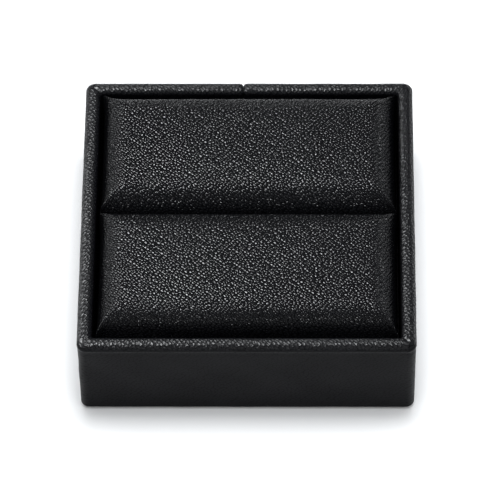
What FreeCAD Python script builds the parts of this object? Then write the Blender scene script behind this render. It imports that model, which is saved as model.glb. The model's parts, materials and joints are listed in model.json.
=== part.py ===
"""Ring display tray: a square, leatherette-wrapped board case that holds two padded ring cushions.

The case is four mitred boards round a base panel, taped at the corners and wrapped in one leatherette
strip that meets itself in a butt seam near the middle of the rear wall. Two foam pads, each wrapped over its
own board, stand side by side in the case. Rings are pushed into the slot between them, and each pad lifts
straight out.

Frame: millimetres, +Z up, the front wall at -Y, the origin at the middle of the underside.
"""
import FreeCAD, Part
import math
import operator
import os
import Sketcher
from FreeCAD import Placement, Rotation, Vector

# ---------------------------------------------------------------- driving dimensions

SIZES = {
    # the finished case, over its leatherette
    "tray_width": 80.0,
    "tray_depth": 80.0,
    "tray_height": 25.5,
    "corner_radius": 2.2,  # upright outer corners
    "rim_outer_radius": 1.4,
    "rim_inner_radius": 1.2,
    "foot_edge_radius": 1.0,  # where the leatherette turns under the case
    "well_corner_radius": 0.8,  # upright corners inside the case
    # sheet and board stock
    "skin": 0.7,  # leatherette
    "tape": 0.15,  # corner stay tape, and the glue line that it fills
    "wall_board": 2.0,
    "base_board": 2.0,
    "bottom_sheet": 0.6,
    "lining": 0.5,
    "pad_board": 1.5,
    # folds, insets and reach
    "case_turn_in": 8.0,
    "seam_gap": 0.3,
    "seam_offset": 1.5,  # how far left of the middle the seam is
    "seam_overrun": 1.0,  # how far the seam's cut runs past the wall and the turn-in
    "stay_leg": 11.0,  # how far a corner stay reaches along each wall
    "sheet_inset": 2.0,
    "lining_clearance": 0.15,
    "infill_clearance": 0.3,
    # the two pads
    "pad_height": 24.8,
    "pad_roll_radius": 6.2,  # rounded top edges of a finished pad
    "pad_corner_radius": 2.4,  # upright corners of a finished pad
    "pad_turn_in": 8.0,
    "pad_side_gap": 0.55,  # pad to case wall
    "ring_slot": 0.6,  # pad to pad
}

MITRE = math.radians(45)
TOLERANCE = 1e-4  # how closely an edge has to lie on the line that it is looked up by


class Size:
    """A length that carries both its spreadsheet formula, which drives the model, and its value."""

    def __init__(self, formula, value):
        self.formula = formula
        self.value = value

    def __add__(self, other):
        return combine(self, "+", other)

    def __sub__(self, other):
        return combine(self, "-", other)

    def __mul__(self, other):
        return combine(self, "*", other)

    def __rmul__(self, other):
        return combine(other, "*", self)

    def __truediv__(self, other):
        return combine(self, "/", other)


OPERATIONS = {"+": operator.add, "-": operator.sub, "*": operator.mul, "/": operator.truediv}


def combine(left, sign, right):
    """left and right, each a Size or a plain number, joined by one arithmetic sign."""
    a, b = (x if isinstance(x, Size) else Size(str(x), x) for x in (left, right))
    return Size(f"({a.formula} {sign} {b.formula})", OPERATIONS[sign](a.value, b.value))


doc = FreeCAD.newDocument("RingDisplayTray")
sheet = doc.addObject("Spreadsheet::Sheet", "Dimensions")
for row, (alias, number) in enumerate(SIZES.items(), start=1):
    sheet.set(f"A{row}", alias)
    sheet.set(f"B{row}", str(number))
    sheet.setAlias(f"B{row}", alias)
doc.recompute()


class Dimensions:
    """Every driving dimension as a Size, read back from the spreadsheet."""


D = Dimensions()
for alias in SIZES:
    setattr(D, alias, Size(f"Dimensions.{alias}", float(getattr(sheet, alias))))

# ---------------------------------------------------------------- derived levels and widths

WALL_BOTTOM = D.bottom_sheet + D.skin  # underside of the boards, on the folded-under leatherette
BASE_TOP = WALL_BOTTOM + D.base_board
WALL_TOP = D.tray_height - D.skin
WALL_HEIGHT = WALL_TOP - WALL_BOTTOM
FLOOR = BASE_TOP + D.lining  # what the pads stand on

SKIN_INSIDE = D.skin  # distance in from the case's outer faces to each layer
BOARD_OUTSIDE = SKIN_INSIDE + D.tape
BOARD_INSIDE = BOARD_OUTSIDE + D.wall_board
WELL_SIDE = BOARD_INSIDE + D.skin


def across(inset):
    """Width of the case at a layer that lies inset from both side faces."""
    return D.tray_width - 2 * inset


def along(inset):
    """Depth of the case at a layer that lies inset from the front and rear faces."""
    return D.tray_depth - 2 * inset


BOARD_CORNER = D.corner_radius - BOARD_OUTSIDE
PAD_WIDTH = across(WELL_SIDE + D.pad_side_gap)
PAD_DEPTH = (along(WELL_SIDE + D.pad_side_gap) - D.ring_slot) / 2
PAD_CENTRE = (PAD_DEPTH + D.ring_slot) / 2  # distance of each pad's middle from the slot's middle

# ---------------------------------------------------------------- modelling helpers


def bind(thing, path, size):
    """Drives one property of a document object by a Size."""
    thing.setExpression(path, size.formula)


def new_body(name, centre_y=None):
    """A PartDesign body whose label names its STEP file; centre_y moves it along Y."""
    body = doc.addObject("PartDesign::Body", name)
    body.Label = name
    if centre_y is not None:
        bind(body, "Placement.Base.y", centre_y)
    return body


def new_sketch(body, name, level=None):
    """A sketch on the body's own XY plane, raised to a level above it."""
    sketch = body.newObject("Sketcher::SketchObject", name)
    plane = next(f for f in body.Origin.OriginFeatures if f.Role == "XY_Plane")
    sketch.AttachmentSupport = [(plane, "")]
    sketch.MapMode = "FlatFace"
    if level is not None:
        bind(sketch, "AttachmentOffset.Base.z", level)
    return sketch


def dimension(sketch, kind, places, name, size):
    """One named driving dimension in a sketch, bound to a Size."""
    index = sketch.addConstraint(Sketcher.Constraint(kind, *places, size.value))
    sketch.renameConstraint(index, name)
    bind(sketch, f"Constraints.{name}", size)


def line(sketch, start, end):
    """A straight sketch line, given by its two (x, y) ends."""
    return sketch.addGeometry(Part.LineSegment(Vector(*start, 0), Vector(*end, 0)), False)


def arc(sketch, centre, radius, first, last):
    """A circular sketch arc from angle first to angle last, in degrees."""
    circle = Part.Circle(Vector(*centre, 0), Vector(0, 0, 1), radius)
    return sketch.addGeometry(Part.ArcOfCircle(circle, math.radians(first), math.radians(last)), False)


START, END, CENTRE = 1, 2, 3  # Sketcher's numbers for the points of a curve
ORIGIN, X_AXIS, Y_AXIS = (-1, 1), -1, -2


def draw_rectangle(sketch, width, depth, prefix="outline"):
    """A square-cornered rectangle centred on the sketch's origin."""
    x, y = width.value / 2, depth.value / 2
    corners = [(-x, -y), (x, -y), (x, y), (-x, y)]
    sides = [line(sketch, corners[i], corners[(i + 1) % 4]) for i in range(4)]
    for i in range(4):
        sketch.addConstraint(Sketcher.Constraint("Coincident", sides[i], END, sides[(i + 1) % 4], START))
        kind = "Horizontal" if i % 2 == 0 else "Vertical"
        sketch.addConstraint(Sketcher.Constraint(kind, sides[i]))
    sketch.addConstraint(Sketcher.Constraint("Symmetric", sides[0], START, sides[2], START, *ORIGIN))
    dimension(sketch, "DistanceX", (sides[0], START, sides[0], END), f"{prefix}_width", width)
    dimension(sketch, "DistanceY", (sides[1], START, sides[1], END), f"{prefix}_depth", depth)


def draw_rounded_rectangle(sketch, width, depth, radius, prefix="outline"):
    """A rectangle centred on the sketch's origin with four equal corner arcs."""
    x, y, r = width.value / 2, depth.value / 2, radius.value
    ends = [
        ((r - x, -y), (x - r, -y)),
        ((x, r - y), (x, y - r)),
        ((x - r, y), (r - x, y)),
        ((-x, y - r), (-x, r - y)),
    ]
    middles = [(x - r, r - y), (x - r, y - r), (r - x, y - r), (r - x, r - y)]
    sides, corners = [], []
    for i in range(4):
        sides.append(line(sketch, *ends[i]))
        corners.append(arc(sketch, middles[i], r, 90 * i - 90, 90 * i))
    for i in range(4):
        sketch.addConstraint(Sketcher.Constraint("Tangent", sides[i], END, corners[i], START))
        sketch.addConstraint(Sketcher.Constraint("Tangent", corners[i], END, sides[(i + 1) % 4], START))
        kind = "Horizontal" if i % 2 == 0 else "Vertical"
        sketch.addConstraint(Sketcher.Constraint(kind, sides[i]))
    for i in range(3):
        sketch.addConstraint(Sketcher.Constraint("Equal", corners[i], corners[i + 1]))
    sketch.addConstraint(Sketcher.Constraint("Symmetric", corners[0], CENTRE, corners[2], CENTRE, *ORIGIN))
    dimension(sketch, "DistanceX", (sides[3], START, sides[1], START), f"{prefix}_width", width)
    dimension(sketch, "DistanceY", (sides[0], START, sides[2], START), f"{prefix}_depth", depth)
    dimension(sketch, "Radius", (corners[0],), f"{prefix}_radius", radius)


def draw_mitred_strip(sketch, length, thickness, radius):
    """The plan of a mitred wall: outer face on the X axis, body towards +Y, its outer corners rounded."""
    half, t, r = length.value / 2, thickness.value, radius.value
    tip_x, tip_y = half - r + r * math.cos(MITRE), r - r * math.sin(MITRE)
    outer = line(sketch, (r - half, 0), (half - r, 0))
    right_corner = arc(sketch, (half - r, r), r, -90, -45)
    right_mitre = line(sketch, (tip_x, tip_y), (half - t, t))
    inner = line(sketch, (half - t, t), (t - half, t))
    left_mitre = line(sketch, (t - half, t), (-tip_x, tip_y))
    left_corner = arc(sketch, (r - half, r), r, -135, -90)
    loop = [right_corner, right_mitre, inner, left_mitre, left_corner]
    sketch.addConstraint(Sketcher.Constraint("Tangent", outer, END, right_corner, START))
    sketch.addConstraint(Sketcher.Constraint("Tangent", left_corner, END, outer, START))
    for before, after in zip(loop, loop[1:]):
        sketch.addConstraint(Sketcher.Constraint("Coincident", before, END, after, START))
    for side in (outer, inner):
        sketch.addConstraint(Sketcher.Constraint("Symmetric", side, START, side, END, Y_AXIS))
    sketch.addConstraint(Sketcher.Constraint("PointOnObject", outer, START, X_AXIS))
    sketch.addConstraint(Sketcher.Constraint("Equal", right_corner, left_corner))
    sketch.addConstraint(Sketcher.Constraint("PointOnObject", right_corner, CENTRE, right_mitre))
    sketch.addConstraint(Sketcher.Constraint("PointOnObject", left_corner, CENTRE, left_mitre))
    sketch.addConstraint(Sketcher.Constraint("Angle", right_mitre, math.pi - MITRE))
    centres = (left_corner, CENTRE, right_corner, CENTRE)
    dimension(sketch, "DistanceX", centres, "length_between_corners", length - 2 * radius)
    dimension(sketch, "DistanceY", (outer, START, inner, START), "thickness", thickness)
    dimension(sketch, "Radius", (right_corner,), "corner_radius", radius)


def pad_up(body, sketch, name, height):
    """Extrudes a sketch upwards."""
    pad = body.newObject("PartDesign::Pad", name)
    pad.Profile = sketch
    bind(pad, "Length", height)
    doc.recompute()
    return pad


def pocket_up(body, sketch, name, height):
    """Cuts upwards from a sketch, and stops the build if nothing was removed."""
    before = body.Shape.Volume
    pocket = body.newObject("PartDesign::Pocket", name)
    pocket.Profile = sketch
    pocket.Reversed = True
    bind(pocket, "Length", height)
    doc.recompute()
    if not pocket.Shape.Volume < before:
        raise RuntimeError(f"{body.Label}: {name} cut nothing")
    return pocket


def edges_round(feature, level, width, depth, corner=None):
    """Names of the edges at one level that follow the outline of a centred rectangle of that size."""
    found = []
    for number, edge in enumerate(feature.Shape.Edges, start=1):
        middle = edge.valueAt((edge.FirstParameter + edge.LastParameter) / 2)
        ends = [v.Point for v in edge.Vertexes] + [middle]
        flat = all(abs(p.z - level) < TOLERANCE for p in ends)
        if flat and all(on_outline(p, width, depth, corner) for p in ends):
            found.append(f"Edge{number}")
    if not found:
        raise RuntimeError(f"{feature.Label}: no edges at {level}")
    return found


def on_outline(point, width, depth, corner):
    """Whether a point lies on a centred rectangle's outline, with or without rounded corners."""
    x, y = width / 2 - abs(point.x), depth / 2 - abs(point.y)
    if corner and x < corner and y < corner:
        return abs(math.hypot(corner - x, corner - y) - corner) < TOLERANCE
    return min(abs(x), abs(y)) < TOLERANCE and min(x, y) > -TOLERANCE


def fillet(body, name, edges, radius):
    """Rounds named edges of the body's last feature."""
    feature = body.newObject("PartDesign::Fillet", name)
    feature.Base = (feature.BaseFeature, edges)
    bind(feature, "Radius", radius)
    doc.recompute()
    return feature


def flat_sheet(name, width, depth, thickness, level, radius=None, centre_y=None):
    """A flat rectangular board or sheet lying at a level, with square or rounded corners."""
    body = new_body(name, centre_y)
    outline = new_sketch(body, f"{name}_outline", level)
    if radius is None:
        draw_rectangle(outline, width, depth)
    else:
        draw_rounded_rectangle(outline, width, depth, radius)
    pad_up(body, outline, f"{name}_sheet", thickness)
    return body


# ---------------------------------------------------------------- the case


def make_wall(name, length, offset, turn):
    """One mitred wall board, turned about Z; offset is from the middle to its outer face."""
    body = new_body(name)
    plan = new_sketch(body, f"{name}_plan")
    draw_mitred_strip(plan, length, D.wall_board, BOARD_CORNER)
    board = pad_up(body, plan, f"{name}_board", WALL_HEIGHT)
    fillet(body, f"{name}_outer_easing", top_edges(board, False), D.rim_outer_radius - D.skin)
    fillet(body, f"{name}_inner_easing", top_edges(body.Tip, True), D.rim_inner_radius - D.skin)
    body.Placement = Placement(Vector(0, 0, 0), Rotation(Vector(0, 0, 1), turn))
    outwards = Rotation(Vector(0, 0, 1), turn).multVec(Vector(0, -1, 0))
    bind(body, "Placement.Base.x", offset * round(outwards.x))
    bind(body, "Placement.Base.y", offset * round(outwards.y))
    bind(body, "Placement.Base.z", WALL_BOTTOM)
    return body


def top_edges(board, inner):
    """Names of a wall board's top edges along its inner face, or along its outer face and corners."""
    found = []
    for number, edge in enumerate(board.Shape.Edges, start=1):
        box = edge.BoundBox
        at_top = box.ZMin > WALL_HEIGHT.value - TOLERANCE
        on_inner_face = box.YMin > D.wall_board.value - TOLERANCE
        if at_top and not is_mitre_edge(edge) and on_inner_face == inner:
            found.append(f"Edge{number}")
    return found


def is_mitre_edge(edge):
    """Whether an edge is one of the 45 degree ends of a wall's top face."""
    if not isinstance(edge.Curve, Part.Line):
        return False
    direction = edge.tangentAt(edge.FirstParameter)
    return abs(abs(direction.x) - abs(direction.y)) < TOLERANCE and abs(direction.z) < TOLERANCE


def make_walls():
    """Four wall boards mitred round the base panel."""
    front = along(BOARD_OUTSIDE) / 2
    side = across(BOARD_OUTSIDE) / 2
    width, depth = across(BOARD_OUTSIDE), along(BOARD_OUTSIDE)
    walls = [
        ("front_wall", width, front, 0),
        ("right_wall", depth, side, 90),
        ("rear_wall", width, front, 180),
        ("left_wall", depth, side, 270),
    ]
    for wall in walls:
        make_wall(*wall)


def draw_corner_band(sketch, leg, thickness, radius):
    """The plan of an L-shaped band whose outer faces lie on the X and Y axes, its corner rounded."""
    far, t, r = leg.value, thickness.value, radius.value
    outer_x = line(sketch, (far, 0), (r, 0))
    outer_corner = arc(sketch, (r, r), r, 180, 270)
    outer_y = line(sketch, (0, r), (0, far))
    end_y = line(sketch, (0, far), (t, far))
    inner_y = line(sketch, (t, far), (t, r))
    inner_corner = arc(sketch, (r, r), r - t, 180, 270)
    inner_x = line(sketch, (r, t), (far, t))
    end_x = line(sketch, (far, t), (far, 0))
    for side, at_arc, corner, at_side in (
        (outer_x, END, outer_corner, END),
        (outer_y, START, outer_corner, START),
        (inner_y, END, inner_corner, START),
        (inner_x, START, inner_corner, END),
    ):
        sketch.addConstraint(Sketcher.Constraint("Tangent", side, at_arc, corner, at_side))
    for before, after in ((outer_y, end_y), (end_y, inner_y), (inner_x, end_x), (end_x, outer_x)):
        sketch.addConstraint(Sketcher.Constraint("Coincident", before, END, after, START))
    for side in (end_y, inner_x):
        sketch.addConstraint(Sketcher.Constraint("Horizontal", side))
    for side in (inner_y, end_x):
        sketch.addConstraint(Sketcher.Constraint("Vertical", side))
    sketch.addConstraint(Sketcher.Constraint("PointOnObject", outer_x, START, X_AXIS))
    sketch.addConstraint(Sketcher.Constraint("PointOnObject", outer_x, END, X_AXIS))
    sketch.addConstraint(Sketcher.Constraint("PointOnObject", outer_y, START, Y_AXIS))
    sketch.addConstraint(Sketcher.Constraint("PointOnObject", outer_y, END, Y_AXIS))
    dimension(sketch, "Radius", (outer_corner,), "corner_radius", radius)
    dimension(sketch, "Distance", (end_x,), "thickness_along_x", thickness)
    dimension(sketch, "Distance", (end_y,), "thickness_along_y", thickness)
    dimension(sketch, "DistanceX", (*ORIGIN, outer_x, START), "leg_along_x", leg)
    dimension(sketch, "DistanceY", (*ORIGIN, outer_y, END), "leg_along_y", leg)


def make_corner_stay(name, side_x, side_y, turn):
    """Tape bent round one upright corner of the boards; side_x and side_y, 1 or -1, name the corner."""
    body = new_body(name)
    plan = new_sketch(body, f"{name}_plan", WALL_BOTTOM)
    draw_corner_band(plan, D.stay_leg, D.tape, D.corner_radius - SKIN_INSIDE)
    pad_up(body, plan, f"{name}_tape", WALL_HEIGHT - D.rim_outer_radius)
    body.Placement = Placement(Vector(0, 0, 0), Rotation(Vector(0, 0, 1), turn))
    bind(body, "Placement.Base.x", side_x * across(SKIN_INSIDE) / 2)
    bind(body, "Placement.Base.y", side_y * along(SKIN_INSIDE) / 2)
    return body


def make_corner_stays():
    """The four corner stays, between the boards and the leatherette."""
    corners = [
        ("front_left_stay", -1, -1, 0),
        ("front_right_stay", 1, -1, 90),
        ("rear_right_stay", 1, 1, 180),
        ("rear_left_stay", -1, 1, 270),
    ]
    for corner in corners:
        make_corner_stay(*corner)


def make_case_wrap():
    """The leatherette on the case: outside, over the rim, down the inside, and folded under the base."""
    body = new_body("case_wrap")
    outline = new_sketch(body, "wrap_outline", D.bottom_sheet)
    draw_rounded_rectangle(outline, D.tray_width, D.tray_depth, D.corner_radius)
    block = pad_up(body, outline, "wrap_block", D.tray_height - D.bottom_sheet)
    width, depth, corner = D.tray_width.value, D.tray_depth.value, D.corner_radius.value
    rim = edges_round(block, D.tray_height.value, width, depth, corner)
    fillet(body, "rim_outer_edge", rim, D.rim_outer_radius)
    foot = edges_round(body.Tip, D.bottom_sheet.value, width, depth, corner)
    fillet(body, "foot_edge", foot, D.foot_edge_radius)

    well = new_sketch(body, "well_outline", WALL_BOTTOM)
    draw_rounded_rectangle(well, across(WELL_SIDE), along(WELL_SIDE), D.well_corner_radius)
    pocket_up(body, well, "well", D.tray_height - WALL_BOTTOM)
    well_edges = edges_round(
        body.Tip,
        D.tray_height.value,
        across(WELL_SIDE).value,
        along(WELL_SIDE).value,
        D.well_corner_radius.value,
    )
    fillet(body, "rim_inner_edge", well_edges, D.rim_inner_radius)

    boards = new_sketch(body, "wall_space_outline", WALL_BOTTOM)
    space_corner = D.corner_radius - SKIN_INSIDE
    draw_rounded_rectangle(boards, across(SKIN_INSIDE), along(SKIN_INSIDE), space_corner, "outside")
    draw_rectangle(boards, across(BOARD_INSIDE), along(BOARD_INSIDE), "inside")
    pocket_up(body, boards, "wall_space", WALL_HEIGHT)
    ceiling = WALL_TOP.value
    outside = (across(SKIN_INSIDE).value, along(SKIN_INSIDE).value, space_corner.value)
    fillet(
        body,
        "wall_space_outer_edge",
        edges_round(body.Tip, ceiling, *outside),
        D.rim_outer_radius - D.skin,
    )
    inside = (across(BOARD_INSIDE).value, along(BOARD_INSIDE).value)
    fillet(
        body,
        "wall_space_inner_edge",
        edges_round(body.Tip, ceiling, *inside),
        D.rim_inner_radius - D.skin,
    )

    base = new_sketch(body, "base_space_outline", WALL_BOTTOM)
    draw_rectangle(base, across(BOARD_INSIDE), along(BOARD_INSIDE))
    pocket_up(body, base, "base_space", D.base_board)

    window = new_sketch(body, "underside_window_outline", D.bottom_sheet)
    draw_rectangle(window, across(D.case_turn_in), along(D.case_turn_in))
    pocket_up(body, window, "underside_window", D.skin)

    seam = new_sketch(body, "seam_outline", D.bottom_sheet)
    draw_seam(seam)
    pocket_up(body, seam, "butt_seam", D.tray_height - D.bottom_sheet)
    return body


def draw_seam(sketch):
    """The narrow gap where the strip's two ends meet, across the rear wall and its turn-in."""
    reach = D.case_turn_in + 2 * D.seam_overrun
    rear_end = D.tray_depth / 2 + D.seam_overrun
    left_edge = D.seam_offset + D.seam_gap / 2
    left, right = -left_edge.value, (D.seam_gap - left_edge).value
    rear, front = rear_end.value, (rear_end - reach).value
    corners = [(left, front), (right, front), (right, rear), (left, rear)]
    sides = [line(sketch, corners[i], corners[(i + 1) % 4]) for i in range(4)]
    for i in range(4):
        sketch.addConstraint(Sketcher.Constraint("Coincident", sides[i], END, sides[(i + 1) % 4], START))
    for i in (0, 2):
        sketch.addConstraint(Sketcher.Constraint("Horizontal", sides[i]))
    for i in (1, 3):
        sketch.addConstraint(Sketcher.Constraint("Vertical", sides[i]))
    dimension(sketch, "DistanceX", (sides[0], START, sides[0], END), "gap", D.seam_gap)
    dimension(sketch, "DistanceX", (sides[0], START, *ORIGIN), "left_edge", left_edge)
    dimension(sketch, "DistanceY", (sides[1], START, sides[1], END), "reach", reach)
    dimension(sketch, "DistanceY", (*ORIGIN, sides[1], END), "rear_end", rear_end)


def make_case():
    """The case's boards, tape, wrap, lining and underside sheets."""
    flat_sheet("base_panel", across(BOARD_INSIDE), along(BOARD_INSIDE), D.base_board, WALL_BOTTOM)
    make_walls()
    make_corner_stays()
    make_case_wrap()
    lining_inset = WELL_SIDE + D.lining_clearance
    flat_sheet(
        "floor_lining",
        across(lining_inset),
        along(lining_inset),
        D.lining,
        BASE_TOP,
        D.well_corner_radius,
    )
    infill_inset = D.case_turn_in + D.infill_clearance
    flat_sheet(
        "base_infill_card", across(infill_inset), along(infill_inset), D.skin, D.bottom_sheet
    )
    flat_sheet(
        "bottom_sheet",
        across(D.sheet_inset),
        along(D.sheet_inset),
        D.bottom_sheet,
        Size("0", 0.0),
        D.corner_radius,
    )


# ---------------------------------------------------------------- the pads


def make_pad(side, centre_y):
    """One ring pad: a board, the foam on it, and the leatherette cover folded in under the board."""
    board_level = FLOOR + D.skin
    foam_level = board_level + D.pad_board
    core_width = PAD_WIDTH - 2 * D.skin
    core_depth = PAD_DEPTH - 2 * D.skin
    core_corner = D.pad_corner_radius - D.skin
    core_roll = D.pad_roll_radius - D.skin
    pad_top = FLOOR + D.pad_height
    core = (core_width.value, core_depth.value, core_corner.value)

    flat_sheet(
        f"{side}_pad_board", core_width, core_depth, D.pad_board, board_level, core_corner, centre_y
    )

    foam = new_body(f"{side}_pad_foam", centre_y)
    outline = new_sketch(foam, f"{side}_foam_outline", foam_level)
    draw_rounded_rectangle(outline, core_width, core_depth, core_corner)
    block = pad_up(foam, outline, f"{side}_foam_block", pad_top - D.skin - foam_level)
    top_edges = edges_round(block, (pad_top - D.skin).value, *core)
    fillet(foam, f"{side}_foam_roll", top_edges, core_roll)

    cover = new_body(f"{side}_pad_cover", centre_y)
    outline = new_sketch(cover, f"{side}_cover_outline", FLOOR)
    draw_rounded_rectangle(outline, PAD_WIDTH, PAD_DEPTH, D.pad_corner_radius)
    pad_up(cover, outline, f"{side}_cover_block", D.pad_height)
    inside = new_sketch(cover, f"{side}_core_outline", board_level)
    draw_rounded_rectangle(inside, core_width, core_depth, core_corner)
    pocket_up(cover, inside, f"{side}_core_space", D.pad_height - 2 * D.skin)
    ceiling = edges_round(cover.Tip, (pad_top - D.skin).value, *core)
    fillet(cover, f"{side}_core_roll", ceiling, core_roll)
    whole = (PAD_WIDTH.value, PAD_DEPTH.value, D.pad_corner_radius.value)
    top_edges = edges_round(cover.Tip, pad_top.value, *whole)
    fillet(cover, f"{side}_cover_roll", top_edges, D.pad_roll_radius)
    window = new_sketch(cover, f"{side}_window_outline", FLOOR)
    window_inset = 2 * D.pad_turn_in
    draw_rectangle(window, PAD_WIDTH - window_inset, PAD_DEPTH - window_inset)
    pocket_up(cover, window, f"{side}_underside_window", D.skin)


# ---------------------------------------------------------------- checks and export


def check_and_export():
    """Checks every object and shape, then writes one STEP file per body."""
    doc.recompute()
    for thing in doc.Objects:
        if {"Invalid", "Error"} & set(thing.State):
            raise RuntimeError(f"{thing.Label} failed: {thing.State}")
    os.makedirs("parts", exist_ok=True)
    for body in doc.findObjects("PartDesign::Body"):
        shape = body.Shape
        if shape.isNull() or not shape.isValid() or not shape.Solids:
            raise RuntimeError(f"{body.Label} has no valid solid")
        solids = shape.Solids
        whole = solids[0] if len(solids) == 1 else Part.makeCompound(solids)
        whole.exportStep(os.path.join("parts", f"{body.Label}.step"))
        box = whole.BoundBox
        size = f"{box.XLength:.2f} x {box.YLength:.2f} x {box.ZLength:.2f}"
        print(f"{body.Label}: {len(solids)} solid(s), {size} mm, {whole.Volume:.1f} mm3")


make_case()
make_pad("front", -1 * PAD_CENTRE)
make_pad("rear", PAD_CENTRE)
check_and_export()
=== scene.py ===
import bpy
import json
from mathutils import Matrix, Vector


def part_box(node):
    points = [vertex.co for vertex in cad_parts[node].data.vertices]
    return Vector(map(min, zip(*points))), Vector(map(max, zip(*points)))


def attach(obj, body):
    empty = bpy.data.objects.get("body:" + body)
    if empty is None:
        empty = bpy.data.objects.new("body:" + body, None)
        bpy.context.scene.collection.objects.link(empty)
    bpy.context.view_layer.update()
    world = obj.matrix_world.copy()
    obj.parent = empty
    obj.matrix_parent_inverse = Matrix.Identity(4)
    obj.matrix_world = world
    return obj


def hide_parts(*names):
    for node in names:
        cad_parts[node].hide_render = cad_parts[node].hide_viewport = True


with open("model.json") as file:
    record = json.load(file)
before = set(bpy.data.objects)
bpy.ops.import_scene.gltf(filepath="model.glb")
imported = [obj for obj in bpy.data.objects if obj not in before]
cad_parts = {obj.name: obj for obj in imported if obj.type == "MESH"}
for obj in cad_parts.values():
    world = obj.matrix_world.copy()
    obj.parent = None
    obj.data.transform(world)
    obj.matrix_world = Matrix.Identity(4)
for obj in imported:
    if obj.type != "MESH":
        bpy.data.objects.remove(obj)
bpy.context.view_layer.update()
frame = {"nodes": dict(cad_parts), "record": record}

# The looks of a ring display tray: a board case wrapped in one strip of black grained leatherette, and two
# foam pads in leatherette covers that are simulated as cloth. Metres, +Z up, the front wall at -Y.

import json
import math

import bpy
import numpy as np
from mathutils import Matrix, Vector

MM = 0.001
CASE_LOW, CASE_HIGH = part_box("case_wrap")
BASE_LOW, BASE_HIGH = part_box("base_panel")

# ---------------------------------------------------------------- sizes

HALF_CASE = CASE_HIGH.x
RIM_TOP = CASE_HIGH.z
WRAP_FOOT = CASE_LOW.z
SKIN = BASE_LOW.z - WRAP_FOOT
BASE_TOP = BASE_HIGH.z
BOARD_INSET = HALF_CASE - BASE_HIGH.x  # from the case's outer face to the inner face of a wall board
WELL_INSET = BOARD_INSET + SKIN
LINING_GAP = 0.2 * MM  # the strip's end turns under the floor lining's edge
TURN_IN = 8.0 * MM
CORNER_RADIUS = 2.2 * MM
WELL_CORNER_RADIUS = 0.8 * MM
RIM_OUTER_RADIUS = 1.4 * MM
RIM_INNER_RADIUS = 1.2 * MM
FOOT_RADIUS = 1.0 * MM
RIM_DEPTH = 3.5 * MM  # how far down the walls the rim's fold reaches
FACE_SINK = 0.14 * MM  # how far the walls' faces lie inside the rim's fold
SEAM_OFFSET = 1.5 * MM  # the seam is left of the middle
RIM_CROWN = 0.12 * MM  # how far the leatherette stands up in the middle of the rim
CROWN_INSET, CROWN_HALF = 1.9 * MM, 1.3 * MM  # that crown's middle from the outer face, and half its width
RIM_REACH, RIM_FADE = 2.2 * MM, 1.6 * MM  # how far down the crown and the mitres reach, and fade over
SINK_RUN = 0.7 * MM  # the height over which the walls' faces sink in
PRESS_START, PRESS_RUN = 0.3 * MM, 0.8 * MM  # how far below the rim's top the grain flattens, and over what

ROLL_FRONT, ROLL_BACK, ROLL_SIDE = 6.2 * MM, 4.6 * MM, 5.0 * MM  # the radius each edge of a pad rolls over
PAD_CROWN = 0.6 * MM  # how far a pad's top stands up in the middle
PAD_SINK = 0.1 * MM  # how far a pad's shoulders lie below its nominal top
# how far each side of a pad pulls in between its corners
PULL_FRONT, PULL_BACK, PULL_SIDE = 1.25 * MM, 1.8 * MM, 0.8 * MM
SLOT_PULL = 0.12 * MM  # the same for the two sides that meet at the slot
PULL_REACH = 1.8 * MM  # how quickly the pull grows from a corner along a side
PULL_START = 3.0 * MM  # the pull starts this high above the foot
EAR_HEIGHT = 1.2 * MM  # how far a pad's mitred corners stand up
EAR_SPREAD = 0.32  # how far that reaches from the mitre, in rolls
PAD_FOOT_RADIUS = 0.7 * MM  # the radius the cover folds over under the board
PAD_TURN_IN = 8.0 * MM  # how far the cover reaches in under the board
FOAM_GAP = 0.55 * MM  # the cover bridges the foam's sharp corners by this much
FOAM_FIRST_RING = 0.8 * MM  # the foam's lowest ring of points above the board
RIDGE_SOFTNESS = 0.35 * MM  # how far the two rolls blend into each other at a mitred corner
TINY = 1e-12

CLOTH_SCALE = 25.0  # the sheet is simulated this much larger
CLOTH_FRAMES = 20
CLOTH_PRESSURE = 9.0
CLOTH_HOLD_TOP, CLOTH_HOLD_GROWTH = 0.05, 0.5  # the hold on the sides: at the top, and how much more below
CLOTH_CAP = 0.2 * MM  # the furthest the cloth moves a point

# how uneven the strip lies, in long and in short waves
LONG_LIE_DEPTH, SHORT_LIE_DEPTH = 0.035 * MM, 0.012 * MM
LONG_LIE_WAVE, SHORT_LIE_WAVE = 9 * MM, 2.6 * MM
SEAM_DEPTH, SEAM_WIDTH = 0.5 * MM, 0.17 * MM
SEAM_DIP_DEPTH, SEAM_DIP_WIDTH = 0.16 * MM, 0.6 * MM
MITRE_DEPTH, MITRE_SHARE = 0.16 * MM, 0.16


def smooth(x):
    """0 below 0, 1 above 1, and an S curve between."""
    x = np.clip(x, 0.0, 1.0)
    return x * x * (3 - 2 * x)


def ripple(x, y, seed, wavelength):
    """A smooth uneven field between about -1 and 1, the same on every run."""
    rng = np.random.default_rng(seed)
    total = np.zeros(np.broadcast(x, y).shape)
    for _ in range(6):
        angle, phase = rng.uniform(0, 2 * math.pi, 2)
        k = 2 * math.pi / (wavelength * rng.uniform(0.7, 1.6))
        total = total + np.sin(k * (x * math.cos(angle) + y * math.sin(angle)) + phase)
    return total / 3.5


# ---------------------------------------------------------------- meshes


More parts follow.
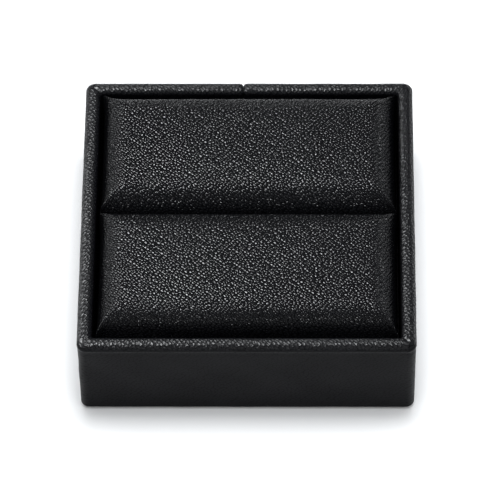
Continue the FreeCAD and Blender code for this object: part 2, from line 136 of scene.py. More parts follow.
def make_object(name, points, faces, cut=None, fields=None):
    """A smooth-shaded mesh object; cut holds each face corner's place on the flat sheet, in metres."""
    mesh = bpy.data.meshes.new(name)
    mesh.from_pydata([tuple(p) for p in points], [], [tuple(int(v) for v in f) for f in faces])
    if cut is not None:
        layer = mesh.uv_layers.new(name="SheetCut")
        layer.data.foreach_set("uv", np.asarray(cut, np.float32).reshape(-1))
    for field, values in (fields or {}).items():
        attribute = mesh.attributes.new(field, "FLOAT", "POINT")
        attribute.data.foreach_set("value", np.asarray(values, np.float32).reshape(-1))
    mesh.polygons.foreach_set("use_smooth", np.ones(len(mesh.polygons), bool))
    mesh.update()
    made = bpy.data.objects.new(name, mesh)
    bpy.context.scene.collection.objects.link(made)
    return made


def apply_modifier(thing, modifier):
    """Applies one modifier to a mesh object."""
    bpy.context.view_layer.objects.active = thing
    thing.select_set(True)
    bpy.ops.object.modifier_apply(modifier=modifier.name)


def subdivide(thing):
    """Applies one level of subdivision surface."""
    modifier = thing.modifiers.new("Subdivision", "SUBSURF")
    modifier.levels = modifier.render_levels = 1
    apply_modifier(thing, modifier)


def arc_points(centre, radius, first, last, steps):
    """Points on a circular arc, from angle first to last in degrees, both ends included."""
    angles = np.radians(np.linspace(first, last, steps + 1))
    return [(centre[0] + radius * math.cos(a), centre[1] + radius * math.sin(a)) for a in angles]


def run_points(start, end, steps):
    """Points along a straight run, both ends included."""
    return [tuple(p) for p in np.linspace(start, end, steps + 1)]


# ---------------------------------------------------------------- the case wrap


def wrap_profile():
    """The wrap's section as (inset, height) points: its finished side from the well floor to the turn-in's
    edge, then its glued side back again; and how many of them are on the finished side."""
    well, rim, foot = WELL_INSET, RIM_TOP, WRAP_FOOT
    finished = [(well + LINING_GAP, BASE_TOP + 0.02 * MM)]
    finished += run_points((well, BASE_TOP + LINING_GAP), (well, rim - RIM_INNER_RADIUS), 22)
    finished += arc_points((well - RIM_INNER_RADIUS, rim - RIM_INNER_RADIUS), RIM_INNER_RADIUS, 0, 90, 8)[1:]
    finished += run_points((well - RIM_INNER_RADIUS, rim), (RIM_OUTER_RADIUS, rim), 4)[1:]
    finished += arc_points((RIM_OUTER_RADIUS, rim - RIM_OUTER_RADIUS), RIM_OUTER_RADIUS, 90, 180, 9)[1:]
    finished += run_points((0, rim - RIM_OUTER_RADIUS), (0, rim - RIM_DEPTH), 10)[1:]
    finished += run_points((0, rim - RIM_DEPTH), (0, foot + FOOT_RADIUS), 22)[1:]
    finished += arc_points((FOOT_RADIUS, foot + FOOT_RADIUS), FOOT_RADIUS, 180, 270, 6)[1:]
    finished += run_points((FOOT_RADIUS, foot), (TURN_IN, foot), 8)[1:]
    glued = [(TURN_IN, foot + SKIN)]
    glued += run_points((SKIN + FOOT_RADIUS, foot + SKIN), (SKIN, foot + SKIN), 1)
    glued += run_points((SKIN, foot + 2 * SKIN), (SKIN, rim - RIM_OUTER_RADIUS), 4)
    outer, inner = RIM_OUTER_RADIUS - SKIN, RIM_INNER_RADIUS - SKIN
    glued += arc_points((RIM_OUTER_RADIUS, rim - RIM_OUTER_RADIUS), outer, 180, 90, 4)[1:]
    glued += arc_points((well - RIM_INNER_RADIUS, rim - RIM_INNER_RADIUS), inner, 90, 0, 4)
    glued += [(BOARD_INSET, BASE_TOP)]
    return np.array(finished + glued), len(finished)


def wrap_stations():
    """Places round the case, from the rear seam back to it: (side, share along it, share of the corner)."""
    near_seam = np.array([0.0, 0.0008, 0.0016, 0.0026, 0.0038, 0.0055, 0.008, 0.013])  # shares of the side
    past_seam = 0.022
    start = 0.5 - SEAM_OFFSET / (2 * HALF_CASE)
    after = list(start + near_seam) + list(np.linspace(start + past_seam, 1.0, 45))
    before = list(start - near_seam[1:]) + list(np.linspace(start - past_seam, 0.0, 43))
    whole_side = list(np.linspace(0, 1, 97))
    corner = list(np.linspace(0, 1, 13))[1:-1]
    stations = [(0, s, None) for s in after]
    for side in (1, 2, 3):
        stations += [(side - 1, None, c) for c in corner]
        stations += [(side, s, None) for s in whole_side]
    stations += [(3, None, c) for c in corner]
    stations += [(0, s, None) for s in reversed(before)]
    return stations


def wrap_corner_radius(inset):
    """The upright corners' radius at an inset, from the outer face to the well."""
    share = np.clip(inset / WELL_INSET, 0, 1)
    return CORNER_RADIUS + (WELL_CORNER_RADIUS - CORNER_RADIUS) * share


def make_case_wrap():
    """The leatherette strip swept round the case, with its butt seam, mitred corners and uneven lie."""
    profile, finished = wrap_profile()
    inset, height = profile[:, 0], profile[:, 1]
    radius = wrap_corner_radius(inset)
    straight = HALF_CASE - inset - radius  # half the length of a straight side at each inset
    steps = np.hypot(np.diff(inset), np.diff(height))
    strip = np.concatenate([[0], np.cumsum(steps)])

    # outward normal of the section at each point, for whatever the surface does next
    ahead = np.roll(profile, -1, 0) - np.roll(profile, 1, 0)
    ahead /= np.maximum(np.hypot(ahead[:, 0], ahead[:, 1]), 1e-9)[:, None]
    normal_out, normal_up = -ahead[:, 1], -ahead[:, 0]
    on_finish = (np.arange(len(profile)) < finished).astype(float)

    # how much of each feature a section point takes
    rim_share = smooth((height - (RIM_TOP - RIM_REACH)) / RIM_FADE) * on_finish
    wall_share = on_finish * (inset < 0.05 * MM)
    crown = RIM_CROWN * np.clip(1 - ((inset - CROWN_INSET) / CROWN_HALF) ** 2, 0, 1) * rim_share
    end_taper = on_finish * smooth((height - WRAP_FOOT) / FOOT_RADIUS)
    sink = FACE_SINK * wall_share * smooth((RIM_TOP - RIM_OUTER_RADIUS - height) / SINK_RUN)

    stations = wrap_stations()
    rows, along_sheet, travelled = [], [], 0.0
    previous = None
    for side, share, corner in stations:
        turn = side * math.pi / 2
        if corner is None:
            x = (2 * share - 1) * straight
            y = HALF_CASE - inset
            direction = (0.0, 1.0)
            diagonal = 0.0
            seam_x = (share - stations[0][1]) * 2 * HALF_CASE if side == 0 else 1.0
        else:
            angle = math.pi / 2 * (1 - corner)
            x = straight + radius * math.cos(angle)
            y = straight + radius * math.sin(angle)
            direction = (math.cos(angle), math.sin(angle))
            diagonal = math.exp(-((corner - 0.5) / MITRE_SHARE) ** 2)
            seam_x = 1.0
        # rows run clockwise from above, so x grows along the rear side and each side turns by -90 degrees
        middle = (float(x[0]), float(y[0]))
        world = (
            middle[0] * math.cos(-turn) - middle[1] * math.sin(-turn),
            middle[0] * math.sin(-turn) + middle[1] * math.cos(-turn),
        )
        travelled += math.dist(world, previous) if previous else 0.0
        previous = world
        along_sheet.append(travelled)

        lie = ripple(travelled, strip, 11, LONG_LIE_WAVE) * LONG_LIE_DEPTH
        lie = lie + ripple(travelled, strip, 12, SHORT_LIE_WAVE) * SHORT_LIE_DEPTH
        groove = -SEAM_DEPTH * math.exp(-((seam_x / SEAM_WIDTH) ** 2))
        groove -= SEAM_DIP_DEPTH * math.exp(-((seam_x / SEAM_DIP_WIDTH) ** 2))
        mitre = -MITRE_DEPTH * diagonal * rim_share * smooth((inset - 0.3 * MM) / (1.6 * MM))
        push = ((lie - sink) * end_taper + groove + mitre) * on_finish
        out = normal_out * push
        up = normal_up * push + crown
        x = x + direction[0] * out
        y = y + direction[1] * out
        z = height + up
        rows.append(
            np.stack(
                [
                    x * math.cos(-turn) - y * math.sin(-turn),
                    x * math.sin(-turn) + y * math.cos(-turn),
                    z,
                ],
                1,
            )
        )
    grid = np.array(rows)
    count, wide = grid.shape[:2]
    faces, cut = [], []
    for i in range(count):
        j = (i + 1) % count
        far = along_sheet[i + 1] if i + 1 < count else along_sheet[i]
        for k in range(wide):
            m = (k + 1) % wide
            faces.append((i * wide + k, i * wide + m, j * wide + m, j * wide + k))
            near_s, far_s = along_sheet[i], far
            low_t, high_t = strip[k], strip[m] if m else strip[k]
            cut += [(near_s, low_t), (near_s, high_t), (far_s, high_t), (far_s, low_t)]
    outside = on_finish * (inset < RIM_OUTER_RADIUS)
    pressed = np.tile(outside * smooth((RIM_TOP - PRESS_START - height) / PRESS_RUN), count)
    wrap = make_object("case_wrap_skin", grid.reshape(-1, 3), faces, cut, {"pressed": pressed})
    return wrap


# ---------------------------------------------------------------- the pads


def pad_lines(half, low_roll, high_roll, flat_steps, roll_steps):
    """Nominal grid lines across a pad: (place, drop of the roll there, distance along the sheet)."""
    low, high = -half + low_roll, half - high_roll
    theta = np.linspace(0, math.pi / 2, roll_steps + 1)[1:]
    inner = np.linspace(low, high, flat_steps + 1)
    place = np.concatenate([(low - low_roll * np.sin(theta))[::-1], inner, high + high_roll * np.sin(theta)])
    fall = 1 - np.cos(theta)
    drop = np.concatenate([(low_roll * fall)[::-1], 0 * inner, high_roll * fall])
    sheet = np.concatenate([(low - low_roll * theta)[::-1], inner, high + high_roll * theta])
    return place, drop, sheet


class Pad:
    """One pad's cover: an outer sheet over foam, from the crown down its four sides to the board's edge."""

    FLAT_X, FLAT_Y, ROLL, SIDE = 60, 24, 10, 20

    def __init__(self, side):
        self.side = side
        low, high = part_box(f"{side}_pad_cover")
        self.centre = (low + high) / 2
        self.half_x = (high.x - low.x) / 2
        self.half_y = (high.y - low.y) / 2
        self.bottom, self.top = low.z, high.z
        self.slot_direction = 1 if side == "front" else -1
        self.build_grid()

    def build_grid(self):
        """Lays out the top as one grid, and the sides as rings that hang from its border."""
        px, dx, sx = pad_lines(self.half_x, ROLL_SIDE, ROLL_SIDE, self.FLAT_X, self.ROLL)
        py, dy, sy = pad_lines(self.half_y, ROLL_FRONT, ROLL_BACK, self.FLAT_Y, self.ROLL)
        self.nx, self.ny = len(px), len(py)
        x, y = np.meshgrid(px, py, indexing="ij")
        drop_x, drop_y = np.meshgrid(dx, dy, indexing="ij")
        gap = drop_x - drop_y
        soften = np.minimum(drop_x, drop_y) > 0
        drop = np.where(
            soften,
            0.5 * (drop_x + drop_y + np.sqrt(gap**2 + RIDGE_SOFTNESS**2)) - 0.25 * RIDGE_SOFTNESS,
            np.maximum(drop_x, drop_y),
        )
        near_ridge = np.exp(-((gap / (EAR_SPREAD * ROLL_SIDE)) ** 2))
        ear = EAR_HEIGHT * near_ridge * smooth(np.minimum(drop_x, drop_y) / ROLL_SIDE)
        crown = PAD_CROWN * (1 - (x / self.half_x) ** 2) * (1 - (y / self.half_y) ** 2)
        z = self.top - PAD_SINK - drop + ear + crown
        top = np.stack([x, y, z], -1)
        self.points = [tuple(p) for p in top.reshape(-1, 3)]
        self.faces, self.cut = [], []
        for i in range(self.nx - 1):
            for j in range(self.ny - 1):
                corners = [(i, j), (i + 1, j), (i + 1, j + 1), (i, j + 1)]
                self.faces.append([a * self.ny + b for a, b in corners])
                self.cut += [(sx[a], sy[b]) for a, b in corners]
        self.border = self.walk_border()
        self.hang_sides(sx, sy)

    def walk_border(self):
        """Grid places round the top's edge, anticlockwise from the front left corner."""
        last_x, last_y = self.nx - 1, self.ny - 1
        loop = [(i, 0) for i in range(last_x)]
        loop += [(last_x, j) for j in range(last_y)]
        loop += [(i, last_y) for i in range(last_x, 0, -1)]
        loop += [(0, j) for j in range(last_y, 0, -1)]
        return loop

    def hang_sides(self, sx, sy):
        """Rings of points from the top's border down to the foot."""
        rings = [[i * self.ny + j for i, j in self.border]]
        foot = self.bottom + PAD_FOOT_RADIUS
        for step in range(1, self.SIDE + 1):
            ring = []
            for i, j in self.border:
                x, y, z = self.points[i * self.ny + j]
                ring.append(len(self.points))
                self.points.append((x, y, z + (foot - z) * step / self.SIDE))
            rings.append(ring)
        self.rings = rings
        side_length = self.top - ROLL_FRONT - foot
        count = len(self.border)
        for step in range(self.SIDE):
            near, far = side_length * step / self.SIDE, side_length * (step + 1) / self.SIDE
            for k in range(count):
                m = (k + 1) % count
                self.faces.append([rings[step][k], rings[step + 1][k], rings[step + 1][m], rings[step][m]])
                side = self.side_of(k, m)
                places = ((k, near), (k, far), (m, far), (m, near))
                self.cut += [self.sheet_place(self.border[q], side, d, sx, sy) for q, d in places]
        # the sides are pulled in once every point exists
        self.points = np.array(self.points)
        self.pull_in()

    def side_of(self, k, m):
        """Which side the border's run from place k to place m lies on."""
        (i, j), (p, q) = self.border[k], self.border[m]
        if j == q:
            return "front" if j == 0 else "rear"
        return "left" if i == 0 else "right"

    def sheet_place(self, border, side, depth, sx, sy):
        """Where a point depth below the border lies on the flat sheet."""
        s, t = sx[border[0]], sy[border[1]]
        shift = {"front": (0, -depth), "rear": (0, depth), "left": (-depth, 0), "right": (depth, 0)}[side]
        return (s + shift[0], t + shift[1])

    def pull_in(self):
        """Pulls each side in between its corners, most at the shoulder and not at all at the board."""
        x, y, z = self.points.T
        shoulder = self.top - ROLL_SIDE
        board = self.bottom + PULL_START
        above_board = smooth((z - board) / (shoulder - board))
        roll_y = np.where(y < 0, ROLL_FRONT, ROLL_BACK)
        in_roll_x = smooth((np.abs(x) - (self.half_x - ROLL_SIDE)) / ROLL_SIDE)
        in_roll_y = smooth((np.abs(y) - (self.half_y - roll_y)) / roll_y)
        reach_x = 1 - np.exp(-np.maximum(self.half_y - np.abs(y), 0) / PULL_REACH)
        reach_y = 1 - np.exp(-np.maximum(self.half_x - np.abs(x), 0) / PULL_REACH)
        slot_side = np.sign(y) == self.slot_direction
        pull_y = np.where(slot_side, SLOT_PULL, np.where(y < 0, PULL_FRONT, PULL_BACK))
        self.points[:, 0] = x - np.sign(x) * PULL_SIDE * reach_x * above_board * in_roll_x
        self.points[:, 1] = y - np.sign(y) * pull_y * reach_y * above_board * in_roll_y

    def simulate(self):
        """Inflates the sheet a little as cloth, held at its foot, and keeps the motion small."""
        thing = make_object(f"{self.side}_sim", self.points * CLOTH_SCALE, self.faces)
        held = thing.vertex_groups.new(name="held")
        floor = self.rings[-1] + self.rings[-2]
        held.add([int(v) for v in floor], 1.0, "REPLACE")
        for depth, ring in enumerate(self.rings[:-2]):
            weight = CLOTH_HOLD_TOP + CLOTH_HOLD_GROWTH * depth / self.SIDE
            held.add([int(v) for v in ring], weight, "REPLACE")
        cloth = thing.modifiers.new("Cloth", "CLOTH")
        settings = cloth.settings
        settings.quality = 6
        settings.mass = 0.3
        settings.tension_stiffness = 25
        settings.compression_stiffness = 25
        settings.shear_stiffness = 12
        settings.bending_stiffness = 1.0
        settings.use_pressure = True
        settings.uniform_pressure_force = CLOTH_PRESSURE
        settings.vertex_group_mass = "held"
        settings.pin_stiffness = 1.0
        settings.effector_weights.gravity = 0.0
        cloth.collision_settings.use_collision = False
        scene = bpy.context.scene
        cloth.point_cache.frame_start, cloth.point_cache.frame_end = 1, CLOTH_FRAMES
        for number in range(1, CLOTH_FRAMES + 1):
            scene.frame_set(number)
        apply_modifier(thing, cloth)
        moved = np.array([v.co for v in thing.data.vertices]) / CLOTH_SCALE
        bpy.data.objects.remove(thing)
        scene.frame_set(1)
        motion = moved - self.points
        length = np.linalg.norm(motion, axis=1)
        motion *= (CLOTH_CAP * np.tanh(length / CLOTH_CAP) / np.maximum(length, TINY))[:, None]
        self.points = self.points + motion
        self.keep_clear()

    def keep_clear(self):
        """Keeps the cover inside the space of its CAD solid, but for the crown on its top."""
        self.points[:, 0] = np.clip(self.points[:, 0], -self.half_x, self.half_x)
        self.points[:, 1] = np.clip(self.points[:, 1], -self.half_y, self.half_y)
        self.points[:, 2] = np.minimum(self.points[:, 2], self.top + PAD_CROWN)


def shrink(pad, points, distance):
    """A pad's outline made smaller by a distance on every side, about the middle of the pad."""
    middle = (pad.top + pad.bottom) / 2
    size = np.array([pad.half_x, pad.half_y, (pad.top - pad.bottom) / 2])
    centre = np.array([0.0, 0.0, middle])
    return centre + (points - centre) * (1 - distance / size)


def turn_in(place, half, inset):
    """One coordinate of a point of the foot, moved in by the inset if it is near the pad's side."""
    near_side = abs(place) > half - PAD_TURN_IN
    return np.sign(place) * max(min(abs(place), half) - inset * near_side, 0)


def finish_pad(pad):
    """Folds the cover under the board: its points, faces, places on the sheet, and its last ring."""
    points, faces, cut = pad.points, [list(f) for f in pad.faces], list(pad.cut)
    last = pad.rings[-1]
    count = len(last)
    outer = [tuple(p) for p in points]
    previous = last
    turns = np.radians([30, 60, 90])
    fold = [(PAD_FOOT_RADIUS * (1 - math.cos(a)), PAD_FOOT_RADIUS * (1 - math.sin(a))) for a in turns]
    fold += [(d, 0.0) for d in np.linspace(PAD_FOOT_RADIUS, PAD_TURN_IN, 7)[1:]]
    fold_rings = []
    for inset, rise in fold:
        ring = []
        for v in last:
            x, y = points[v][:2]
            ring.append(len(outer))
            outer.append((turn_in(x, pad.half_x, inset), turn_in(y, pad.half_y, inset), pad.bottom + rise))
        fold_rings.append(ring)
    step_in = 0.0
    for (inset, _), ring in zip(fold, fold_rings):
        for k in range(count):
            m = (k + 1) % count
            faces.append([previous[k], ring[k], ring[m], previous[m]])
            side = pad.side_of(k, m)
            s0, t0 = outer[last[k]][0], outer[last[k]][1]
            s1, t1 = outer[last[m]][0], outer[last[m]][1]
            across_side = side in ("front", "rear")
            a, b = (s0, s1) if across_side else (t0, t1)
            cut += [(a, step_in), (a, inset), (b, inset), (b, step_in)]
        step_in = inset
        previous = ring
    return np.array(outer), faces, cut, previous


def make_foam(pad, shift):
    """The foam block inside a cover: the cover's own shape made a little smaller, flat on the board."""
    board_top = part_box(f"{pad.side}_pad_board")[1].z
    shape = shrink(pad, pad.points, SKIN + FOAM_GAP)
    above = [ring for ring in pad.rings if shape[ring, 2].min() > board_top + FOAM_FIRST_RING]
    points = [tuple(p) for p in shape]
    foot = []
    for v in above[-1]:
        foot.append(len(points))
        points.append((shape[v][0], shape[v][1], board_top))
    rings = above + [foot]
    top_cells = (pad.nx - 1) * (pad.ny - 1)
    faces = [list(f) for f in pad.faces[:top_cells]]
    count = len(foot)
    for near, far in zip(rings, rings[1:]):
        faces += [[near[k], far[k], far[(k + 1) % count], near[(k + 1) % count]] for k in range(count)]
    place = dict(zip(pad.border, foot))
    for i in range(pad.nx):
        for j in range(pad.ny):
            if (i, j) not in place:
                x, y = shape[i * pad.ny + j][:2]
                place[(i, j)] = len(points)
                points.append((x, y, board_top))
    for i in range(pad.nx - 1):
        for j in range(pad.ny - 1):
            faces.append([place[(i, j)], place[(i, j + 1)], place[(i + 1, j + 1)], place[(i + 1, j)]])
    used = sorted({v for f in faces for v in f})
    renumber = {v: k for k, v in enumerate(used)}
    faces = [[renumber[v] for v in f] for f in faces]
    return make_object(f"{pad.side}_pad_foam_block", np.array([points[v] for v in used]) + shift, faces)


def make_pad(side):
    """The cover of one pad and the foam inside it."""
    pad = Pad(side)
    pad.simulate()
    outer, faces, cut, hem = finish_pad(pad)
    count = len(outer)
    inner = shrink(pad, outer, SKIN)
    points = np.concatenate([outer, inner])
    inside = [[count + v for v in reversed(f)] for f in faces]
    rim = []
    for k in range(len(hem)):
        m = (k + 1) % len(hem)
        rim.append([hem[k], count + hem[k], count + hem[m], hem[m]])
    inside_cut = []
    for f in range(len(faces)):
        inside_cut += list(reversed(cut[4 * f: 4 * f + 4]))
    rim_cut = [(0.0, 0.0)] * (4 * len(rim))
    shift = np.array([pad.centre.x, pad.centre.y, 0.0])
    all_faces, all_cut = faces + inside + rim, cut + inside_cut + rim_cut
    cover = make_object(f"{side}_pad_leather", points + shift, all_faces, all_cut)
    subdivide(cover)
    return cover, make_foam(pad, shift)


# ---------------------------------------------------------------- materials


class Nodes:
    """A material's node tree, with short calls for adding and linking nodes."""

    def __init__(self, name):
        self.material = bpy.data.materials.new(name)
        self.material.use_nodes = True
        self.tree = self.material.node_tree
        self.tree.nodes.clear()
        self.output = self.tree.nodes.new("ShaderNodeOutputMaterial")

    def add(self, kind, settings=None, **inputs):
        """A node of one kind; inputs are socket names, with a value or another node's socket."""
        node = self.tree.nodes.new("ShaderNode" + kind)
        for key, value in (settings or {}).items():
            setattr(node, key, value)
        for key, value in inputs.items():
            self.put(node, key.replace("_", " "), value)
        return node

    def put(self, node, key, value):
        """Sets or links one input, found by its name or number."""
        socket = node.inputs[int(key)] if key.isdigit() else node.inputs[key]
        if isinstance(value, bpy.types.NodeSocket):
            self.tree.links.new(value, socket)
        else:
            socket.default_value = value

    def math(self, operation, a, b):
        """One maths node's result."""
        node = self.tree.nodes.new("ShaderNodeMath")
        node.operation = operation
        self.put(node, "0", a)
        self.put(node, "1", b)
        return node.outputs[0]

    def fit(self, value, low, high, to_low=0.0, to_high=1.0, curve="SMOOTHSTEP"):
        """A value mapped from one range to another."""
        node = self.tree.nodes.new("ShaderNodeMapRange")
        node.interpolation_type = curve
        for key, number in (("Value", value), ("From Min", low), ("From Max", high)):
            self.put(node, key, number)
        self.put(node, "To Min", to_low)
        self.put(node, "To Max", to_high)
        return node.outputs["Result"]

    def blend(self, share, a, b):
        """Two colours mixed."""
        node = self.tree.nodes.new("ShaderNodeMix")
        node.data_type = "RGBA"
        self.put(node, "0", share)
        self.put(node, "6", a)
        self.put(node, "7", b)
        return node.outputs[2]

    def bump(self, height, distance):
        """A bump whose height of 1 stands distance metres proud."""
        node = self.tree.nodes.new("ShaderNodeBump")
        self.put(node, "Height", height)
        self.put(node, "Distance", distance)
        self.put(node, "Strength", 1.0)
        return node.outputs["Normal"]

    def surface(self, **inputs):
        """A Principled shader into the output."""
        shader = self.add("BsdfPrincipled", None, **inputs)
        self.tree.links.new(shader.outputs[0], self.output.inputs["Surface"])
        return self.material


BLACK = (0.0023, 0.0025, 0.0037, 1)
WORN_BLACK = (0.0017, 0.0018, 0.0028, 1)
# painted shade: the colour in the creases between pebbles, darker than the leatherette, stands in for the
# shade that falls there
PIT_SHADE_BLACK = (0.0005, 0.0006, 0.0009, 1)
GRAIN_SLANT = -40.0  # direction of the pebbles' length, in degrees from +X on the sheet
GRAIN_LONG, GRAIN_WIDE = 1.3, 0.88  # a pebble's length and width, in pitches
GRAIN_RANDOM = 0.75
GRAIN_DRIFT = 0.5  # how far the pebbles wander, in pitches
VALLEY = 0.22  # how wide the creases between pebbles are
DOME_REACH, DOME_SHARE = 0.75, 0.5  # how round a pebble is, and how much of its height that makes
OWN_HEIGHT = 0.85  # the lowest pebble's height, where the highest is 1
PORES = 0.12
CROWN_HIGH = 0.62  # the height where a pebble's crown is fully polished
PIT_ROUGH, CROWN_ROUGH = 0.65, 0.4
BASE_LEVEL = 0.07
COAT_IOR = 1.7
PRESSED_BUMP = 0.05  # what is left of the grain on the pressed outer walls


def leatherette(name, pitch, depth, polish, low, shine, pressed=False):
    """Black grained leatherette: domed pebbles at a pitch and of a depth, both in metres, with pits between.
    Their crowns are polished: polish is the coat's roughness, low the height where it starts and shine its
    most. With pressed, the surface's attribute of that name flattens the grain and dulls it."""
    n = Nodes(name)
    place = n.add("UVMap", {"uv_map": "SheetCut"}).outputs["UV"]
    drift = n.add("TexNoise", {"noise_dimensions": "2D"}, Vector=place, Scale=0.3 / pitch, Detail=1.0)
    turned = n.add(
        "Mapping",
        {"vector_type": "TEXTURE"},
        Vector=place,
        Rotation=(0, 0, math.radians(GRAIN_SLANT)),
        Scale=(GRAIN_LONG, GRAIN_WIDE, 1.0),
    )
    wander = n.add("VectorMath", {"operation": "MULTIPLY_ADD"})
    n.put(wander, "0", drift.outputs["Color"])
    n.put(wander, "1", (GRAIN_DRIFT * pitch, GRAIN_DRIFT * pitch, 0.0))
    n.put(wander, "2", turned.outputs[0])
    cells = {"voronoi_dimensions": "2D"}
    scatter = {"Vector": wander.outputs[0], "Scale": 1 / pitch, "Randomness": GRAIN_RANDOM}
    domes = n.add("TexVoronoi", {**cells, "feature": "F1"}, **scatter)
    edges = n.add("TexVoronoi", {**cells, "feature": "DISTANCE_TO_EDGE"}, **scatter)
    valley = n.fit(edges.outputs["Distance"], 0.0, VALLEY)
    dome = n.fit(domes.outputs["Distance"], 0.0, DOME_REACH, 1.0, 0.0, "SMOOTHSTEP")
    own_height = n.fit(domes.outputs["Color"], 0.0, 1.0, OWN_HEIGHT, 1.0, "LINEAR")
    rounded = n.math("MULTIPLY", dome, DOME_SHARE)
    mix = n.math("ADD", rounded, n.math("MULTIPLY", valley, 1 - DOME_SHARE))
    pebble = n.math("MULTIPLY", mix, own_height)
    flat = {"noise_dimensions": "2D"}
    pores = n.add("TexNoise", flat, Vector=place, Scale=6.5 / pitch, Detail=3.0, Roughness=0.6)
    patches = n.add("TexNoise", flat, Vector=place, Scale=0.05 / pitch, Detail=3.0)
    height = n.math("ADD", pebble, n.math("MULTIPLY", pores.outputs["Fac"], PORES))
    crown = n.fit(pebble, low, CROWN_HIGH)
    polished = n.math("MULTIPLY", crown, shine)
    if pressed:
        flattened = n.add("Attribute", {"attribute_name": "pressed"}).outputs["Fac"]
        height = n.math("MULTIPLY", height, n.fit(flattened, 0.0, 1.0, 1.0, PRESSED_BUMP, "LINEAR"))
        polished = n.math("MULTIPLY", polished, n.fit(flattened, 0.0, 1.0, 1.0, 0.0, "LINEAR"))
    tint = n.blend(n.fit(patches.outputs["Fac"], 0.3, 0.7), BLACK, WORN_BLACK)
    # painted shade: the pits between the pebbles take a darker colour than the crowns
    colour = n.blend(crown, PIT_SHADE_BLACK, tint)
    rough = n.fit(crown, 0.0, 1.0, PIT_ROUGH, CROWN_ROUGH, "LINEAR")
    rough = n.math("ADD", rough, n.fit(patches.outputs["Fac"], 0.2, 0.8, -0.04, 0.05, "LINEAR"))
    normal = n.bump(height, depth)
    finish = {
        "Base Color": colour,
        "Roughness": rough,
        "Normal": normal,
        "Specular IOR Level": BASE_LEVEL,
        "Coat Weight": polished,
        "Coat Roughness": polish,
        "Coat IOR": COAT_IOR,
        "Coat Normal": normal,
    }
    return n.surface(**finish)


def greyboard():
    """Pressed waste-paper board: warm grey with flecks and fibres."""
    n = Nodes("greyboard")
    place = n.add("TexCoord").outputs["Object"]
    flecks = n.add("TexNoise", None, Vector=place, Scale=1400.0, Detail=4.0, Roughness=0.7)
    one_way = n.add("Mapping", None, Vector=place, Scale=(1, 6, 1)).outputs[0]
    fibres = n.add("TexNoise", None, Vector=one_way, Scale=420.0)
    colour = n.blend(n.fit(flecks.outputs["Fac"], 0.35, 0.7), (0.21, 0.19, 0.165, 1), (0.40, 0.37, 0.33, 1))
    height = n.math("ADD", flecks.outputs["Fac"], fibres.outputs["Fac"])
    rough = n.fit(fibres.outputs["Fac"], 0.2, 0.8, 0.82, 0.95, "LINEAR")
    return n.surface(**{"Base Color": colour, "Roughness": rough, "Normal": n.bump(height, 0.03 * MM)})


def kraft_tape():
    """Brown gummed tape with long fibres."""
    n = Nodes("kraft_tape")
    place = n.add("TexCoord").outputs["Object"]
    long_way = n.add("Mapping", None, Vector=place, Scale=(1, 1, 0.12)).outputs[0]
    fibres = n.add("TexNoise", None, Vector=long_way, Scale=2600.0, Detail=3.0)
    colour = n.blend(fibres.outputs["Fac"], (0.27, 0.165, 0.085, 1), (0.45, 0.30, 0.17, 1))
    rough = n.fit(fibres.outputs["Fac"], 0.2, 0.8, 0.6, 0.8, "LINEAR")
    normal = n.bump(fibres.outputs["Fac"], 0.02 * MM)
    return n.surface(**{"Base Color": colour, "Roughness": rough, "Normal": normal})


def velveteen():
    """Short black pile with a soft sheen."""
    n = Nodes("velveteen")
    place = n.add("TexCoord").outputs["Object"]
    pile = n.add("TexNoise", None, Vector=place, Scale=3800.0, Detail=2.0)
    brushed = n.add("TexNoise", None, Vector=place, Scale=70.0, Detail=3.0)
    lit = n.math("MULTIPLY", n.fit(brushed.outputs["Fac"], 0.35, 0.65), pile.outputs["Fac"])
    colour = n.blend(lit, (0.006, 0.006, 0.007, 1), (0.028, 0.028, 0.031, 1))
    rough = n.fit(brushed.outputs["Fac"], 0.2, 0.8, 0.85, 1.0, "LINEAR")
    normal = n.bump(pile.outputs["Fac"], 0.12 * MM)
    sheen = {"Sheen Weight": 0.5, "Sheen Roughness": 0.4}
    return n.surface(**{"Base Color": colour, "Roughness": rough, "Normal": normal}, **sheen)


def foam():
    """Open-cell foam: pale grey with pores."""
    n = Nodes("foam")
    place = n.add("TexCoord").outputs["Object"]
    pores = n.add("TexVoronoi", {"feature": "SMOOTH_F1"}, Vector=place, Scale=2200.0)
    colour = n.blend(pores.outputs["Distance"], (0.30, 0.30, 0.29, 1), (0.62, 0.62, 0.60, 1))
    rough = n.fit(pores.outputs["Distance"], 0.0, 0.8, 0.9, 1.0, "LINEAR")
    normal = n.bump(pores.outputs["Distance"], 0.15 * MM)
    return n.surface(**{"Base Color": colour, "Roughness": rough, "Normal": normal})


def dress(thing, material):
    """Gives an object one material."""
    thing.data.materials.clear()
    thing.data.materials.append(material)


# ---------------------------------------------------------------- build


case_leather = leatherette("case_leather", 0.67 * MM, 0.08 * MM, 0.36, -0.2, 0.88, True)
pad_leather = leatherette("pad_leather", 0.67 * MM, 0.18 * MM, 0.18, 0.2, 0.9)

wrap = make_case_wrap()
dress(wrap, case_leather)
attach(wrap, "case")
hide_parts("case_wrap")

by_slot = {"greyboard": greyboard(), "kraft_tape": kraft_tape(), "velveteen": velveteen(), "foam": foam()}
for entry in frame["record"]["subparts"]:
    if entry["material_slot"] in by_slot:
        dress(frame["nodes"][entry["node"]], by_slot[entry["material_slot"]])

for side in ("front", "rear"):
    cover, block = make_pad(side)
    dress(cover, pad_leather)
    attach(cover, f"{side}_pad")
    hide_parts(f"{side}_pad_cover")
    dress(block, by_slot["foam"])
    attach(block, f"{side}_pad")
    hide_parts(f"{side}_pad_foam")

# ---------------------------------------------------------------- stage, light and camera


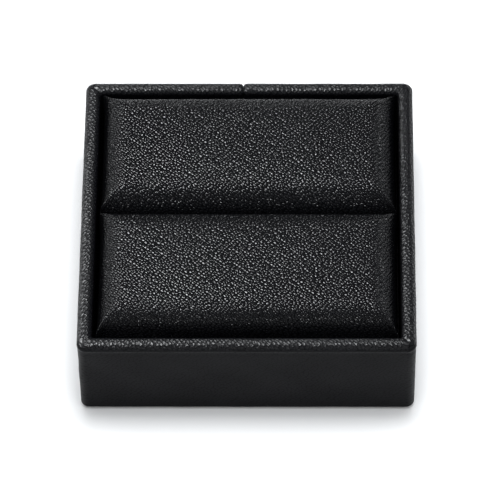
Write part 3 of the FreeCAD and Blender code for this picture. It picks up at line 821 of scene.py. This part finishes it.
def make_floor():
    """A plain white floor, its edge far out of sight."""
    half = 3.0
    corners = [(-half, -half, 0), (half, -half, 0), (half, half, 0), (-half, half, 0)]
    floor = make_object("floor", corners, [(0, 1, 2, 3)])
    n = Nodes("floor_white")
    place = n.add("TexCoord").outputs["Object"]
    mottle = n.add("TexNoise", None, Vector=place, Scale=30.0)
    colour = n.blend(mottle.outputs["Fac"], (0.86, 0.86, 0.86, 1), (0.88, 0.88, 0.88, 1))
    dress(floor, n.surface(**{"Base Color": colour, "Roughness": 0.9, "Specular IOR Level": 0.1}))


def make_softbox(name, place, aim, width, height, power):
    """A rectangular area light that faces a point."""
    light = bpy.data.lights.new(name, "AREA")
    light.shape = "RECTANGLE"
    light.size, light.size_y = width, height
    light.energy = power
    light.color = (0.96, 0.98, 1.0)
    thing = bpy.data.objects.new(name, light)
    bpy.context.scene.collection.objects.link(thing)
    direction = Vector(aim) - Vector(place)
    thing.matrix_world = Matrix.Translation(place) @ direction.to_track_quat("-Z", "Y").to_matrix().to_4x4()
    return thing


def make_camera():
    """A long lens, 54 degrees above the floor and a little to the right of the middle."""
    elevation, yaw, roll = math.radians(53.7), math.radians(1.29), math.radians(1.02)
    distance = 1.064
    aim = Vector((0.36 * MM, 0.0, 11.4 * MM))
    level = math.cos(elevation)
    back = Vector((math.sin(yaw) * level, -math.cos(yaw) * level, math.sin(elevation)))
    right = Vector((math.cos(yaw), math.sin(yaw), 0.0))
    up = back.cross(right)
    aim = aim - up * 0.8 * MM
    turn = Matrix((right, up, back)).transposed().to_4x4() @ Matrix.Rotation(-roll, 4, "Z")
    data = bpy.data.cameras.new("camera")
    data.lens, data.sensor_width = 316.0, 36.0
    data.clip_start, data.clip_end = 0.05, 20.0
    camera = bpy.data.objects.new("camera", data)
    bpy.context.scene.collection.objects.link(camera)
    camera.matrix_world = Matrix.Translation(aim + back * distance) @ turn
    bpy.context.scene.camera = camera


make_floor()
make_camera()
# the key and the fill light the matt part of a surface, and the shine lights only its gloss
key = make_softbox("key", (0.0, 0.11, 0.75), (0, 0, 0.02), 0.24, 0.24, 4.0)
key.visible_glossy = False
for name, place, size, power in (
    ("shine_back", (-0.24, 0.18, 0.66), 0.18, 2.1),
    ("shine_side", (-0.26, 0.10, 0.35), 0.18, 0.5),
    ("shine_front", (-0.16, 0.05, 0.70), 0.12, 1.5),
):
    shine_light = make_softbox(name, place, (0, 0, 0.02), size, size, power)
    shine_light.visible_diffuse = False
fill = make_softbox("fill", (0.10, 0.0, 1.2), (0, 0, 0.0), 2.4, 2.4, 30.0)
fill.visible_glossy = False

world = bpy.data.worlds.new("studio")
world.use_nodes = True
background = world.node_tree.nodes["Background"]
background.inputs["Color"].default_value = (1, 1, 1, 1)
background.inputs["Strength"].default_value = 0.12
bpy.context.scene.world = world
bpy.context.scene.view_settings.view_transform = "Standard"
